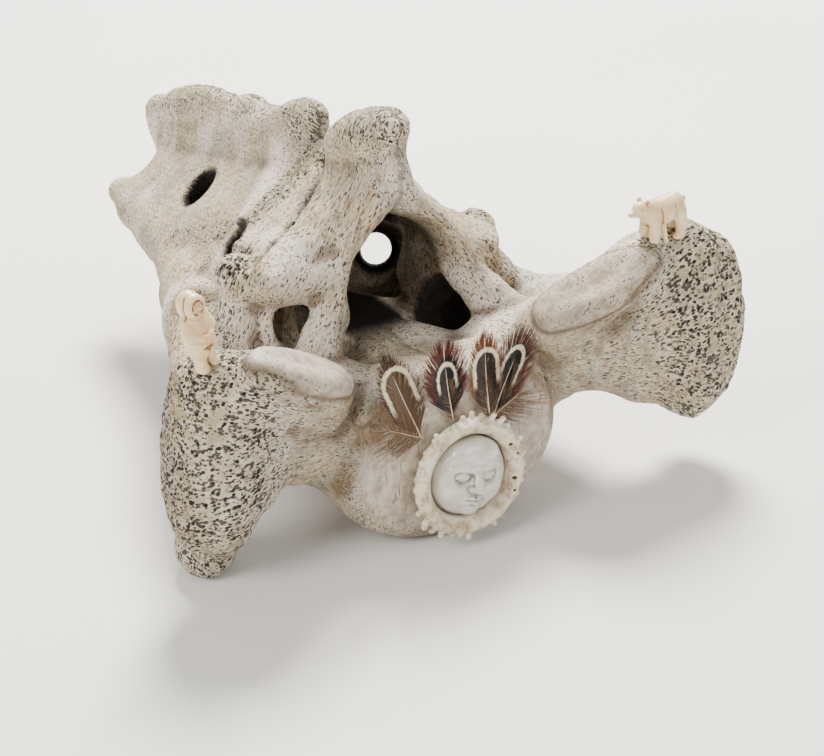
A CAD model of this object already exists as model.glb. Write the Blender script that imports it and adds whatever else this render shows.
import math

import bpy
import numpy as np
import openvdb
from mathutils import Matrix, Vector, noise


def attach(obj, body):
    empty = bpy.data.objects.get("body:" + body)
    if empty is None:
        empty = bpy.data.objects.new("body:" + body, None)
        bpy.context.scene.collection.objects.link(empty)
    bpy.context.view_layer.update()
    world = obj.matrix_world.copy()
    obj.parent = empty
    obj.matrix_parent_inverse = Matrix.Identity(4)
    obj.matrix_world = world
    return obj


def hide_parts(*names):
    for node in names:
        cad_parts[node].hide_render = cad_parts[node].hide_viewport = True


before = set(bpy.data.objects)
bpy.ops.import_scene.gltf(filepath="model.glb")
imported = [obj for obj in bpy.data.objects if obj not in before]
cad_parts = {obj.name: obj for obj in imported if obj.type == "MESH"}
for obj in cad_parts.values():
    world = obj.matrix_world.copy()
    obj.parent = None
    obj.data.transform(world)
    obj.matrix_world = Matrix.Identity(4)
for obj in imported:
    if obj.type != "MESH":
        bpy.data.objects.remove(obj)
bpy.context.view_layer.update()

# ------------------------------------------------------------------ sizes, in millimetres
# The bone is shaped about the middle of its front disc: +X to its right-hand wing in front view,
# +Y to its tail, +Z up. lay_down() then carries it to the pose it rests in.
MM = 0.001
REST_SHIFT = (-9.0, -132.0, 40.3)
PITCH = math.radians(-4)
ROLL = math.radians(-2.1)
GAP = 0.45
BONE_CELL = 2.35
BURR_CELL = 0.6
FACE_CELL = 0.36
FIGURE_CELL = 0.36
FIELD_MARGIN = 14.0
CARVING_MARGIN = 8.0
FOOT_MARGIN = 10.0
LUMP_ROOM = 0.35
FAR_AWAY = 1e3
TINY = 1e-6
TINIER = 1e-9

MASK_AT = (-2.5, -7.3, -9.0)
MASK_LEAN = 12
MASK_RIM = 18.0
FACE_RADIUS = 17.2
HUNTER_AT = (-106, 1, 65.5)
HUNTER_TURN = 18
HUNTER_LEAN = -10
HUNTER_SCALE = 0.91
BEAR_AT = (102.5, -2.5, 64)
BEAR_TURN = 6
BEAR_PITCH = 1

LEFT, RIGHT = -1, 1
ALONG_X = (1, 0, 0)
ALONG_Y = (0, 1, 0)


# ------------------------------------------------------------------ fields
def unit(direction):
    direction = np.asarray(direction, dtype=float)
    return direction / np.linalg.norm(direction)


def square_to(axis, direction):
    direction = np.asarray(direction, dtype=float)
    return unit(direction - np.dot(direction, axis) * axis)


def smooth_min(a, b, rounding):
    """The lesser of two fields, with the edge between them rounded off."""
    share = np.clip(0.5 + 0.5 * (b - a) / rounding, 0, 1)
    return b + (a - b) * share - rounding * share * (1 - share)


def smooth_step(low, high, value):
    t = np.clip((value - low) / (high - low), 0, 1)
    return t * t * (3 - 2 * t)


class Shape:
    """A field, below zero inside the shape, and the box that the shape fills."""

    def __init__(self, value, low, high):
        self.value = value
        self.low = np.asarray(low, dtype=float)
        self.high = np.asarray(high, dtype=float)


def lobe(at, half, long=ALONG_X, flat=(0, 0, 1), power=2.0):
    """An ellipsoid with half sizes along `long`, across it and along `flat`."""
    along = unit(long)
    out = square_to(along, flat)
    turn = np.stack([along, np.cross(out, along), out])
    middle = np.asarray(at, dtype=float)
    sizes = np.asarray(half, dtype=float)
    reach = np.abs(turn.T) @ sizes

    def value(points):
        q = np.abs((points - middle) @ turn.T) / sizes
        if power == 2.0:
            inside = np.sqrt((q * q).sum(1)) + TINY
            return inside * (inside - 1) / (np.sqrt(((q / sizes) ** 2).sum(1)) + TINIER)
        flat_sum = (q[:, 0] ** 2 + q[:, 1] ** 2) ** (power / 2) + q[:, 2] ** power
        return (flat_sum ** (1 / power) - 1) * sizes.min()

    return Shape(value, middle - reach, middle + reach)


def strut(stations, wide=(0, 0, 1), rounding=4.0, power=2.0):
    """A bar through stations (x, y, z, half size along `wide`, half size across)."""
    stations = [np.asarray(station, dtype=float) for station in stations]
    spans = []
    for start, end in zip(stations[:-1], stations[1:]):
        along = end[:3] - start[:3]
        length = np.linalg.norm(along)
        along = along / length
        up = square_to(along, wide)
        spans.append((start, end, length, np.stack([along, up, np.cross(along, up)])))

    def value(points):
        best = None
        for start, end, length, turn in spans:
            q = (points - start[:3]) @ turn.T
            share = np.clip(q[:, 0] / length, 0, 1)
            width = start[3] + (end[3] - start[3]) * share
            height = start[4] + (end[4] - start[4]) * share
            cap = np.minimum(width, height)
            a = np.abs(q[:, 1] / width)
            b = np.abs(q[:, 2] / height)
            c = np.abs(q[:, 0] - share * length) / cap
            if power == 2.0:
                inside = np.sqrt(a * a + b * b + c * c) + TINY
                slope = np.sqrt((a / width) ** 2 + (b / height) ** 2 + (c / cap) ** 2) + TINIER
                found = inside * (inside - 1) / slope
            else:
                found = ((a**power + b**power + c**power) ** (1 / power) - 1) * cap
            best = found if best is None else smooth_min(best, found, rounding)
        return best

    reach = max(max(station[3], station[4]) for station in stations)
    places = np.stack([station[:3] for station in stations])
    return Shape(value, places.min(0) - reach, places.max(0) + reach)


def hoop(radius, rise, thick):
    """A ring of round section about the Z axis."""

    def value(points):
        out = np.hypot(points[:, 0], points[:, 1]) - radius
        return np.hypot(out, points[:, 2] - rise) - thick

    reach = radius + thick
    return Shape(value, (-reach, -reach, rise - thick), (reach, reach, rise + thick))


def sided(side, stations):
    """Stations written for +X, on the given side."""
    return [(side * station[0], *station[1:]) for station in stations]


def add(shape, rounding):
    return "add", shape, rounding


def cut(shape, rounding):
    return "cut", shape, rounding


def sculpted(steps, points, margin=FIELD_MARGIN):
    """The field of shapes added and cut one after another, each with its own rounding."""
    field = np.full(len(points), FAR_AWAY)
    for kind, shape, rounding in steps:
        near = np.all((points > shape.low - margin) & (points < shape.high + margin), axis=1)
        chosen = np.nonzero(near)[0]
        if not len(chosen):
            continue
        found = shape.value(points[chosen])
        if kind == "add":
            field[chosen] = smooth_min(field[chosen], found, rounding)
        else:
            field[chosen] = -smooth_min(-field[chosen], found, rounding)
    return field


# ------------------------------------------------------------------ from a field to a mesh
BLOCK = 4
LIVE_REACH = 1.15
SLOPE_STEP = 0.05
LEAST_SLOPE = 0.4


def spread(blocks):
    """Block values repeated for every cell of each block."""
    for axis in range(3):
        blocks = np.repeat(blocks, BLOCK, axis)
    return blocks


def skin_of(steps, low, high, cell, margin=FIELD_MARGIN):
    """Points and triangles of the surface where a sculpted field is zero."""
    low = np.asarray(low, dtype=float)
    blocks = np.ceil((np.asarray(high) - low) / (cell * BLOCK)).astype(int)
    coarse_index = np.stack(np.meshgrid(*[np.arange(n + 1) for n in blocks], indexing="ij"), -1)
    coarse = sculpted(steps, low + coarse_index.reshape(-1, 3) * cell * BLOCK, margin)
    coarse = coarse.reshape(blocks + 1)
    nearest = np.full(blocks, np.inf)
    for corner in np.ndindex(2, 2, 2):
        window = tuple(slice(c, c + n) for c, n in zip(corner, blocks))
        nearest = np.minimum(nearest, np.abs(coarse[window]))
    live = nearest < cell * BLOCK * LIVE_REACH
    fine = spread(live)
    wanted = np.zeros(np.array(fine.shape) + 1, dtype=bool)
    for corner in np.ndindex(2, 2, 2):
        wanted[tuple(slice(c, c + n) for c, n in zip(corner, fine.shape))] |= fine
    value = np.pad(spread(coarse[:-1, :-1, :-1]), ((0, 1), (0, 1), (0, 1)), mode="edge")
    value[wanted] = sculpted(steps, low + np.argwhere(wanted) * cell, margin)
    grid = openvdb.FloatGrid(FAR_AWAY)
    grid.copyFromArray(value.astype(np.float32))
    points, quads = grid.convertToQuads(0.0)
    points = low + points.astype(float) * cell
    quads = quads.astype(int)
    short = np.linalg.norm(points[quads[:, 0]] - points[quads[:, 2]], axis=1)
    other = np.linalg.norm(points[quads[:, 1]] - points[quads[:, 3]], axis=1)
    first = np.where((short < other)[:, None], quads[:, [0, 1, 2]], quads[:, [0, 1, 3]])
    second = np.where((short < other)[:, None], quads[:, [0, 2, 3]], quads[:, [1, 2, 3]])
    triangles = np.concatenate([first, second])
    if volume_of(points, triangles) < 0:
        triangles = triangles[:, ::-1]
    return points, triangles


def volume_of(points, triangles):
    a, b, c = (points[triangles[:, i]] for i in range(3))
    return np.einsum("ij,ij->i", a, np.cross(b, c)).sum() / 6


def onto_surface(steps, points, reach, rounds=2, margin=FIELD_MARGIN):
    """Moves points onto the zero surface along the field's slope."""
    start = points.copy()
    for _ in range(rounds):
        here = sculpted(steps, points, margin)
        slope = np.stack(
            [sculpted(steps, points + SLOPE_STEP * axis, margin) - here for axis in np.eye(3)], axis=1
        )
        slope /= SLOPE_STEP
        steep = np.maximum((slope * slope).sum(1), LEAST_SLOPE)
        points = points - slope * (here / steep)[:, None]
        moved = points - start
        far = np.linalg.norm(moved, axis=1, keepdims=True)
        points = start + moved * np.minimum(1, reach / np.maximum(far, TINIER))
    return points


def normals_of(points, triangles):
    a, b, c = (points[triangles[:, i]] for i in range(3))
    face = np.cross(b - a, c - a)
    total = np.zeros_like(points)
    for i in range(3):
        np.add.at(total, triangles[:, i], face)
    return total / np.maximum(np.linalg.norm(total, axis=1, keepdims=True), 1e-12)


def evened(points, triangles, share=0.5):
    """Slides every point part of the way to the middle of its neighbours."""
    total = np.zeros_like(points)
    count = np.zeros(len(points))
    for i in range(3):
        for j in ((i + 1) % 3, (i + 2) % 3):
            np.add.at(total, triangles[:, i], points[triangles[:, j]])
            np.add.at(count, triangles[:, i], 1)
    return points + (total / np.maximum(count, 1)[:, None] - points) * share


def refined(points, triangles, chosen):
    """Halves the edges between chosen points, and splits the triangles that have such edges."""
    sides = np.stack([triangles, np.roll(triangles, -1, axis=1)], -1)
    marked = chosen[sides].all(-1)
    ends = np.sort(sides[marked], axis=1)
    edges, which = np.unique(ends, axis=0, return_inverse=True)
    middle = np.full(marked.shape, -1)
    middle[marked] = len(points) + which.ravel()
    points = np.concatenate([points, points[edges].mean(1)])
    out = [triangles[~marked.any(1)]]
    for first in range(3):
        order = [first, (first + 1) % 3, (first + 2) % 3]
        corner = triangles[:, order]
        mid = middle[:, order]
        has = marked[:, order]
        one = has[:, 0] & ~has[:, 1] & ~has[:, 2]
        a, b, c, m = *corner[one].T, mid[one, 0]
        out += [np.stack([a, m, c], 1), np.stack([m, b, c], 1)]
        two = has[:, 0] & has[:, 1] & ~has[:, 2]
        a, b, c, m, n = *corner[two].T, mid[two, 0], mid[two, 1]
        out += [np.stack([m, b, n], 1), np.stack([a, m, n], 1), np.stack([a, n, c], 1)]
    full = marked.all(1)
    a, b, c = triangles[full].T
    m, n, o = middle[full].T
    out += [np.stack(t, 1) for t in ((a, m, o), (m, b, n), (o, n, c), (m, n, o))]
    return points, np.concatenate(out)


# ------------------------------------------------------------------ the bone's shape
WING = {
    LEFT: {
        "blade": [(40, 30, 14, 24, 17), (72, 19, 22, 22, 15), (92, 12, 25, 33, 15),
                  (104, 9, 24, 42, 16), (112, 9, 25, 38, 14)],
        "tip": (-105.5, 27, -22.8),
        "crest": [(104, 6, 57, 9, 11), (92, 24, 40, 10, 14), (82, 46, 28, 13, 15)],
        "facet": (-68.5, -4, 57.5),
        "facet_rise": 0.5,
        "mass": [(80, 34, 24, 18, 17), (77, 66, 28, 16, 17), (64, 104, 38, 15, 15)],
        "drop": 0,
        "pillar_in": 4,
    },
    RIGHT: {
        "blade": [(40, 30, 14, 24, 17), (72, 17, 22, 23, 16), (98, 8, 23, 35, 16),
                  (120, 2, 23, 44, 17), (133, -1, 23, 37, 13)],
        "tip": (123, 6, -8),
        "crest": [(104, 6, 57, 9, 11), (92, 24, 36, 10, 14), (82, 46, 24, 13, 15)],
        "facet": (68.5, -4, 54),
        "facet_rise": 0.36,
        "mass": [(80, 34, 19, 18, 17), (76, 66, 20, 14, 15), (62, 104, 33, 13, 13)],
        "drop": 9,
        "pillar_in": 0,
    },
}
CANAL = strut(
    [(2, -14, 62, 30, 26), (2.5, 36, 60, 25.5, 26), (1.5, 70, 58, 25.5, 23), (0, 110, 54, 23, 19),
     (0, 160, 46, 18, 14), (0, 210, 38, 14, 11), (0, 300, 36, 12, 10)],
    wide=ALONG_X, rounding=6,
)
DISC = lobe((-3, 11, 0), (54, 41, 18), flat=ALONG_Y, power=3.2)


def facet_facing(side):
    return np.array((-side * 0.6, -0.18, 0.78))


def facet_frame(side):
    """The facet's middle, its long direction and the direction square to that which it faces."""
    long = unit((side * 0.86, -0.27, WING[side]["facet_rise"]))
    return np.array(WING[side]["facet"]), long, square_to(long, facet_facing(side))


def wing(side):
    shape = WING[side]
    facing = facet_facing(side)
    at, long, _ = facet_frame(side)
    return [
        add(strut(sided(side, shape["blade"]), rounding=6), 10),
        add(lobe(shape["tip"], (12, 14, 13.5)), 12),
        add(strut(sided(side, shape["crest"]), rounding=6), 12),
        add(strut(sided(side, [(58, 8, 38, 12, 11), (90, 1, 54, 11, 11)])), 10),
        add(lobe(at - 5 * facing, (29.5, 13, 7.5), long=long, flat=facing, power=2.6), 4),
        cut(lobe(at + 7.6 * facing, (25, 9.5, 6.8), long=long, flat=facing, power=2.4), 1.2),
    ]


def side_mass(side):
    drop = WING[side]["drop"]
    mass = WING[side]["mass"] + [(54, 130, 39, 14, 14), (43, 158, 40, 13, 13), (35, 195, 42, 12, 12),
                                 (33, 236, 45, 9, 9), (34, 257, 49, 5, 5)]
    bridges = [
        [(20, 82, 10, 15, 13), (60, 82, 26, 15, 13)],
        [(18, 128, 10, 12, 11), (48, 128, 30, 12, 11)],
        [(14, 172, 8, 11, 10), (36, 172, 30, 11, 10)],
        [(10, 216, 2, 11, 10), (30, 216, 32, 11, 10)],
    ]
    walls = [
        [(56, 74, 60 - drop, 11, 9), (62, 72, 38, 14, 12)],
        [(42, 84, 66 - drop, 17, 6.5), (40, 85, 34, 24, 9.5)],
        [(30, 142, 66, 14, 6.5), (36, 142, 32, 15, 8)],
    ]
    return (
        [add(strut(sided(side, mass), rounding=6), 10)]
        + [add(strut(sided(side, bar), wide=ALONG_Y), 10) for bar in bridges]
        + [add(strut(sided(side, bar), wide=ALONG_Y), 8) for bar in walls]
    )


def first_arch(side):
    drop, inward = WING[side]["drop"], WING[side]["pillar_in"]
    pillar = [
        (51 - 0.5 * inward, 37, 32, 9, 10), (43 - inward, 42, 42, 10, 8.5),
        (34 - 1.5 * inward, 47, 55, 10, 8.5), (28 - 1.2 * inward, 49, 68, 12, 8.5),
        (20 - 0.6 * inward, 52, 79, 15, 8), (10, 55, 92, 19, 8), (1, 57, 104, 24, 8),
    ]
    roof = [
        (4, 66, 100 - 0.4 * drop, 17, 7), (22, 62, 86.5 - 0.7 * drop, 13, 6.5),
        (42, 60, 74 - drop, 12, 7), (56, 66, 66 - drop, 9, 8),
    ]
    rear_lip = [(6, 101, 98, 15, 6), (24, 92, 85.5 - 0.5 * drop, 19, 6), (44, 84, 73.5 - drop, 19, 6.5)]
    hood = [(50, 56, 69 - drop, 11, 7.5), (31, 52, 68 - 0.5 * drop, 11, 7.5)]
    lintel = [(50, 57, 64 - drop, 10, 6.5), (40, 57, 62 - drop, 10, 6.5)]
    return [
        add(strut(sided(side, pillar), wide=ALONG_Y), 6),
        add(strut(sided(side, roof), wide=ALONG_Y), 7),
        add(strut(sided(side, rear_lip), wide=ALONG_Y, rounding=1, power=3.5), 6),
        add(strut(sided(side, hood), wide=ALONG_Y), 6),
        add(strut(sided(side, lintel), wide=ALONG_Y), 5),
        add(lobe((side * 58, 72.5, 67.5 - drop), (9.5, 10, 10)), 2),
    ]


# The slit's places on a side without a drop, the part of the drop that each takes, and the widths.
SLIT_PATH = [(2, 87, 112), (9, 83, 106), (16, 74, 98), (24, 69, 92), (33, 65.5, 86), (45, 62.5, 81),
             (51, 61.5, 77)]
SLIT_DROPS = (0, 0, 0, 0, 0.7, 1, 1)
SLIT_WIDTHS = (2.6, 2.6, 2.2, 1.3, 0.8, 0.6, 0.5)
SLIT_DEPTH = 7


def slit(side):
    """The narrow groove between the first arch and the roof behind it."""
    drop = WING[side]["drop"]
    groove = [
        (x, y, z - share * drop, SLIT_DEPTH, width)
        for (x, y, z), share, width in zip(SLIT_PATH, SLIT_DROPS, SLIT_WIDTHS)
    ]
    return cut(strut(sided(side, groove), wide=(side * 0.5, 0, 0.86), rounding=2), 1.2)


def rear_roof(side):
    slope = [(27, 100, 73, 34, 6.5), (27, 120, 73, 35, 7), (24, 150, 70, 32, 7), (20, 190, 66, 28, 7),
             (17, 228, 63, 24, 7), (15, 256, 60, 20, 6.5), (14, 266, 59, 17, 6)]
    return [add(strut(sided(side, slope), wide=(side * 0.76, 0, -0.65), rounding=1, power=3.5), 7)]


CREST_KNOBS = [(114, 113, 16, 9, 9), (167, 104, 12, 7, 7.5), (189, 100, 10, 6, 6.5), (230, 90.5, 42, 8.5, 11),
               (273, 78, 13, 6.5, 8)]


def midline():
    spine = [(0, 57, 102, 24, 9), (0, 58, 114, 26, 9)]
    crest = [(0, 112, 96, 22, 7.5), (0, 150, 92, 18, 6.5), (0, 200, 86, 18, 6), (0, 245, 78, 16, 5.5),
             (0, 274, 76, 9, 5)]
    cap = lobe((0, 57, 119.5), (31, 12, 11), long=(0, 0.93, -0.37), flat=(0, 0.37, 0.93))
    knobs = [add(lobe((0, y, z), half, long=(0, 1, -0.28)), 4) for y, z, *half in CREST_KNOBS]
    return [add(strut(spine, wide=ALONG_Y), 8), add(cap, 6), add(strut(crest), 12)] + knobs


def openings(side):
    first = [(82, 36, 62, 7, 7), (60, 48, 51, 9, 8.5), (42, 58, 37, 10.5, 10), (24, 62, 33, 10.5, 10)]
    upper = [
        [(51, 95, 80, 9, 8), (46, 99, 69, 8.5, 7.5), (24, 113, 50, 6, 6)],
        [(31, 168, 80, 10, 7.5), (25.5, 175, 69, 9.5, 7), (12, 188, 48, 6, 6)],
    ]
    down_slope = (side * 0.62, 0, -0.78)
    lower = [(38, 66, -6, 9, 16), (33, 108, -2, 8, 14), (28, 152, 0, 7, 12), (22, 196, -2, 6, 10)]
    steps = [cut(strut(sided(side, first), wide=ALONG_Y), 4)]
    steps += [cut(strut(sided(side, hole), wide=down_slope), 2) for hole in upper]
    for x, y, z, r, depth in lower:
        inner = (x - 0.35 * depth, y, z + depth, r - 2, r - 2)
        hole = [(x + 7, y, z - 20, r + 2, r + 2), (x, y, z, r, r), inner]
        steps.append(cut(strut(sided(side, hole), wide=ALONG_Y), 4))
    return steps


def deep_holes():
    """The small nerve holes of both sides, whose walls are dark inside."""
    return [shape for side in (LEFT, RIGHT) for _, shape, _ in openings(side)[1:3]]


LEFT_BOWL = [(-48.4, 64.0, 45.4), (-41.4, 58.0, 47.7)]
RIGHT_PIT = [(29, 54, 42, 8, 8), (39, 66, 27, 15.5, 13), (49, 76, 20, 8, 8)]
LIGHT_GAP = [(12, 86, 56, 8, 8.5), (32, 118, 42, 7.5, 8), (60, 168, 22, 7, 7), (78, 200, 8, 12, 12)]
BODIES = [(-1, 34, 3, 43, 32), (0, 54, 5, 39, 29), (0, 90, 7, 36, 26), (0, 135, 7, 31, 22),
          (2, 185, 3, 25, 19), (9, 243, -7.5, 21, 17), (10, 264, -3, 17, 14)]
CANAL_WALL = [(30, 106, 8, 11, 9), (52, 116, 22, 11, 9)]
REAR_NOTCH = [(-40, 294, 50, 21, 19), (40, 294, 50, 21, 19)]


def bone_steps():
    steps = [add(DISC, 1), add(strut(BODIES, wide=ALONG_X, rounding=6), 6)]
    for side in (LEFT, RIGHT):
        steps += wing(side) + side_mass(side) + first_arch(side) + rear_roof(side)
    steps += midline()
    steps.append(add(strut(CANAL_WALL, wide=ALONG_Y), 6))
    steps.append(cut(CANAL, 5))
    for side in (LEFT, RIGHT):
        steps += openings(side) + [slit(side)]
    steps.append(add(lobe(LEFT_BOWL[0], (10, 11, 17)), 5))
    steps.append(cut(lobe(LEFT_BOWL[1], (10.5, 12, 11)), 3))
    steps.append(cut(strut(RIGHT_PIT), 4))
    steps.append(cut(strut(LIGHT_GAP, wide=ALONG_Y), 4))
    for side in (LEFT, RIGHT):
        steps.append(cut(lobe((side * 19, 278, 58), (36, 12, 20), long=ALONG_Y), 4))
    steps.append(cut(strut(REAR_NOTCH, wide=ALONG_Y), 4))
    return steps


# ------------------------------------------------------------------ where the bone is open, smooth or stained
def patch(points, places, radius):
    """1 at the places, falling to 0 at one and a half times the radius from them."""
    best = np.full(len(points), np.inf)
    for place in places:
        best = np.minimum(best, np.linalg.norm(points - place, axis=1))
    return 1 - smooth_step(0.5, 1.5, best / radius)


def line_patch(points, line, radius):
    """The same along a line of places."""
    best = np.full(len(points), np.inf)
    for start, end in zip(line[:-1], line[1:]):
        start, end = np.array(start, dtype=float), np.array(end, dtype=float)
        along = end - start
        share = np.clip((points - start) @ along / (along @ along), 0, 1)
        best = np.minimum(best, np.linalg.norm(points - start - share[:, None] * along, axis=1))
    return 1 - smooth_step(0.5, 1.5, best / radius)


def facet_patch(points, side):
    """1 on the leaf-shaped plate of a joint facet and 0 off it."""
    at, long, out = facet_frame(side)
    across = np.cross(out, long)
    q = points - at
    share = np.clip(q @ long / 30.5, -1.1, 1.1)
    plan = np.hypot(share, q @ across / (14.5 - 3.5 * share))
    return (1 - smooth_step(0.92, 1.06, plan)) * smooth_step(-9, -4, q @ out)


def facet_plates(points):
    return np.maximum(facet_patch(points, LEFT), facet_patch(points, RIGHT))


def bone_zones(points):
    """How open, polished, stained and dark the bone is at each point."""
    x, y, z = points.T
    mirrored = np.stack([-np.abs(x), y, z], 1)
    front = 1 - smooth_step(34, 62, y)
    facets = facet_plates(points)
    disc_plan = np.hypot((x + 3) / 51, z / 38.5)
    disc = (1 - smooth_step(0.78, 1.04, disc_plan)) * (1 - smooth_step(8, 16, y))
    open_bone = front * np.maximum(smooth_step(-60, -98, x), smooth_step(78, 114, x))
    left_top = patch(points, [(-95, -12, 60), (-77, -15, 50), (-111, -2, 58)], 13)
    right_top = patch(points, [(100, -4, 60), (112, -2, 66)], 13)
    crest_top = np.interp(y, [96, 114, 157, 200, 240, 280], [113, 122, 114, 109, 97, 86])
    crest = smooth_step(-13, -4, z - crest_top) * smooth_step(86, 92, y)
    cap = smooth_step(117, 124, z) * (1 - smooth_step(86, 92, y))
    behind_arch = (1 - smooth_step(4, 9, np.abs(y - 92))) * smooth_step(62, 74, z)
    knobs = patch(points, [(-62, 67, 73), (-57, 76, 70), (59, 72, 62)], 12)
    band = line_patch(mirrored, [(-49, 161, 55), (-44, 133, 65), (-42, 117, 71)], 6)
    spots = patch(mirrored, [(-22, 187, 76)], 8)
    pits = patch(mirrored, [(-69, 70, 52), (-76, 62, 45), (-84, 88, 41)], 11)
    hollow = patch(mirrored, [(-69, 97, 52), (-63, 91, 50), (-70, 90, 48)], 9)
    open_bone = np.maximum.reduce([
        open_bone, 0.75 * left_top, 0.7 * right_top, 0.8 * crest, 0.85 * cap, 0.9 * behind_arch, knobs,
        0.8 * band, 0.5 * spots, 0.6 * pits, 0.8 * hollow,
    ])
    polished = np.maximum(facets * np.where(x < 0, 1.0, 0.6), disc)
    open_bone *= 1 - polished
    groove = line_patch(mirrored, [(-30, -3, 27), (-38, -3, 23), (-51, -1, 7), (-55, 2, -4)], 4.5)
    rim = smooth_step(-114, -123, x) + 0.5 * patch(points, [(-90, -12, 62), (-74, -14, 52)], 8)
    stain = np.maximum.reduce([
        0.75 * groove, 0.8 * hollow, 0.45 * np.clip(rim, 0, 1), 0.6 * patch(points, [(-12, 60, 118)], 4),
        0.35 * behind_arch, 0.3 * band, 0.25 * facets * (x > 0),
    ])
    dark = (1 - smooth_step(4.6, 8.6, CANAL.value(points))) * smooth_step(46, 66, y)
    pit = 1 - smooth_step(1.2, 3.6, strut(RIGHT_PIT).value(points))
    dark = np.maximum(dark, pit * smooth_step(48, 60, y))
    gap = 1 - smooth_step(2.0, 5.0, strut(LIGHT_GAP, wide=ALONG_Y).value(points))
    dark = np.maximum(dark, gap * smooth_step(84, 96, y) * (1 - smooth_step(48, 56, x)))
    slit_line = sided(LEFT, SLIT_PATH)
    crease = line_patch(mirrored, slit_line[:4], 3.4)
    thin = line_patch(mirrored, slit_line[3:], 1.8)
    dark = np.maximum.reduce([dark, 0.8 * crease, 0.55 * thin])
    for shape in deep_holes():
        dark = np.maximum(dark, 1 - smooth_step(0.2, 1.8, shape.value(points)))
    return np.stack([open_bone, polished, stain, dark], 1)


def bone_grain(points):
    """A place along and across the run of the bone's fibres, in metres."""
    x, y, z = points.T
    side = np.sign(x)
    wing_out = np.hypot(np.abs(x) - 30, z - 16)
    wing_across = np.arctan2(z - 16, np.maximum(np.abs(x) - 30, 1)) * 60
    arch_out = -0.55 * np.abs(x) + 0.83 * z
    arch_across = 0.83 * np.abs(x) + 0.55 * z
    roof_out = 0.76 * np.abs(x) - 0.65 * z
    is_wing = (y < 34) & (np.abs(x) > 46) & (z < 74)
    is_rear = y > 92
    is_low = z < 22
    along = np.where(is_wing, wing_out, np.where(is_rear, roof_out, arch_out))
    across = np.where(is_wing, wing_across, np.where(is_rear, y, arch_across))
    along = np.where(is_low & ~is_wing, y, along)
    across = np.where(is_low & ~is_wing, x, across)
    depth = np.where(is_wing, y, np.where(is_rear, 0.65 * x + 0.76 * z, y))
    return np.stack([along, across + 200 * (side < 0), depth], 1) * MM


def hollows(points, triangles, rounds):
    """How far each point lies below the surface once that is smoothed, in millimetres."""
    edges = np.concatenate([triangles[:, [0, 1]], triangles[:, [1, 2]], triangles[:, [2, 0]]])
    near, far = edges.T
    count = np.maximum(np.bincount(near, minlength=len(points)), 1)
    smooth = points
    for _ in range(rounds):
        total = [np.bincount(near, smooth[far, axis], len(points)) for axis in range(3)]
        smooth = np.stack(total, 1) / count[:, None]
    return ((smooth - points) * normals_of(points, triangles)).sum(1)


OPEN_FROM = 0.03
LUMP_DEPTH = 0.75
PIT_DEPTH = 1.5
PIT_REACH = 0.42
SWELL_DEPTH = 0.25
PLATE_RISE = 0.3
BRINK_GROOVE = 3.6


def roughened(points, triangles, zones):
    """Lumps and pits as deep as the bone is open, and a groove round each joint facet."""
    depth = np.zeros(len(points))
    for i, opened in enumerate(zones[:, 0]):
        at = Vector(points[i])
        if opened > OPEN_FROM:
            lump = noise.noise(at * 0.14) + 0.6 * noise.noise(at * 0.33)
            pit = max(0.0, PIT_REACH - noise.voronoi(at * 0.3)[0][0]) / PIT_REACH
            depth[i] = opened * (LUMP_DEPTH * lump - PIT_DEPTH * pit * pit)
        else:
            depth[i] = SWELL_DEPTH * noise.noise(at * 0.05)
    plate = facet_plates(points)
    depth += PLATE_RISE * plate - BRINK_GROOVE * plate * (1 - plate)
    return points + normals_of(points, triangles) * depth[:, None]


# ------------------------------------------------------------------ to the pose at rest
REST = (
    Matrix.Translation(Vector(REST_SHIFT))
    @ Matrix.Rotation(PITCH, 4, "X")
    @ Matrix.Rotation(ROLL, 4, "Y")
)
TO_REST = np.array(REST)


def lay_down(points):
    """Bone millimetres to metres in the pose at rest, with nothing under the floor."""
    placed = (points @ TO_REST[:3, :3].T + TO_REST[:3, 3]) * MM
    placed[:, 2] = np.maximum(placed[:, 2], 0)
    return placed


def placed_by(matrix, points):
    matrix = np.array(matrix)
    return points @ matrix[:3, :3].T + matrix[:3, 3]


def mesh_piece(name, points, triangles, material, node):
    """A piece of loose triangles that takes the place of one of the CAD's nodes."""
    mesh = bpy.data.meshes.new(name)
    mesh.vertices.add(len(points))
    mesh.vertices.foreach_set("co", points.astype(np.float32).ravel())
    mesh.loops.add(3 * len(triangles))
    mesh.loops.foreach_set("vertex_index", triangles.astype(np.int32).ravel())
    mesh.polygons.add(len(triangles))
    mesh.polygons.foreach_set("loop_start", np.arange(0, 3 * len(triangles), 3, dtype=np.int32))
    mesh.update(calc_edges=True)
    mesh.shade_smooth()
    mesh.materials.append(material)
    piece = bpy.data.objects.new(name, mesh)
    bpy.context.scene.collection.objects.link(piece)
    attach(piece, "root")
    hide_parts(node)
    return piece


def set_attribute(piece, name, kind, values):
    attribute = piece.data.attributes.new(name, kind, "POINT")
    field = {"FLOAT": "value", "FLOAT_COLOR": "color", "FLOAT_VECTOR": "vector"}[kind]
    attribute.data.foreach_set(field, values.astype(np.float32).ravel())


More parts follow.
